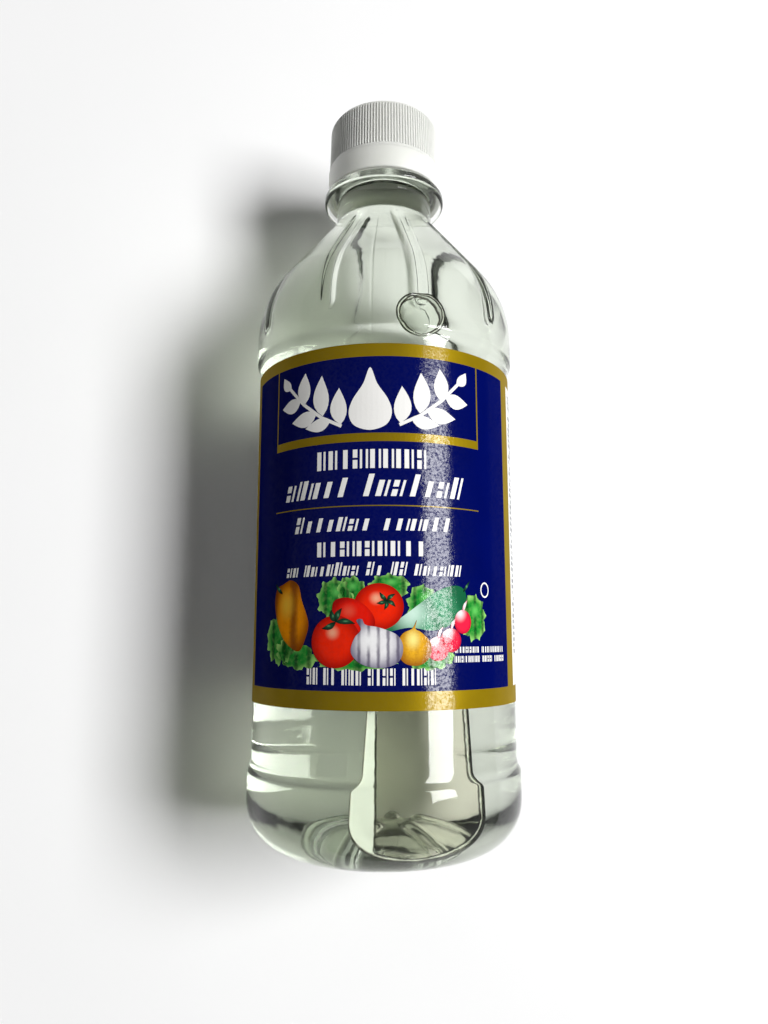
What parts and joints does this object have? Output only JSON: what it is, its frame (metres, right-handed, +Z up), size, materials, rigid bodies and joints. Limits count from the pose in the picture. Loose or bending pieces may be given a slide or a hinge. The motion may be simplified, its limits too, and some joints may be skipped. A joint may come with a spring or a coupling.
{
  "type": "vinegar bottle",
  "caption": "Sealed clear plastic bottle of vinegar lying on its side, with a fluted shoulder, a recessed label panel, a paper label and a ribbed white screw cap.",
  "frame": {"origin": "middle of the bounding box at the surface the bottle lies on", "axes": "+Y along the bottle's axis from its base to its cap, +Z up as it lies, +X to the right seen from the base"},
  "size_m": [0.0674, 0.1914, 0.0672],
  "materials": {
    "clear_plastic": "clear blow-moulded polyester, glossy, faint grey-green where it is thick",
    "vinegar": "water-clear drink",
    "label_paper": "glossy coated paper, navy field with gold bands",
    "white_plastic": "white moulded polypropylene, satin"
  },
  "bodies": {
    "root": {"bottle": "clear_plastic", "vinegar": "vinegar", "label": "label_paper", "cap": "white_plastic", "tamper_band": "white_plastic"}
  },
  "joints": []
}
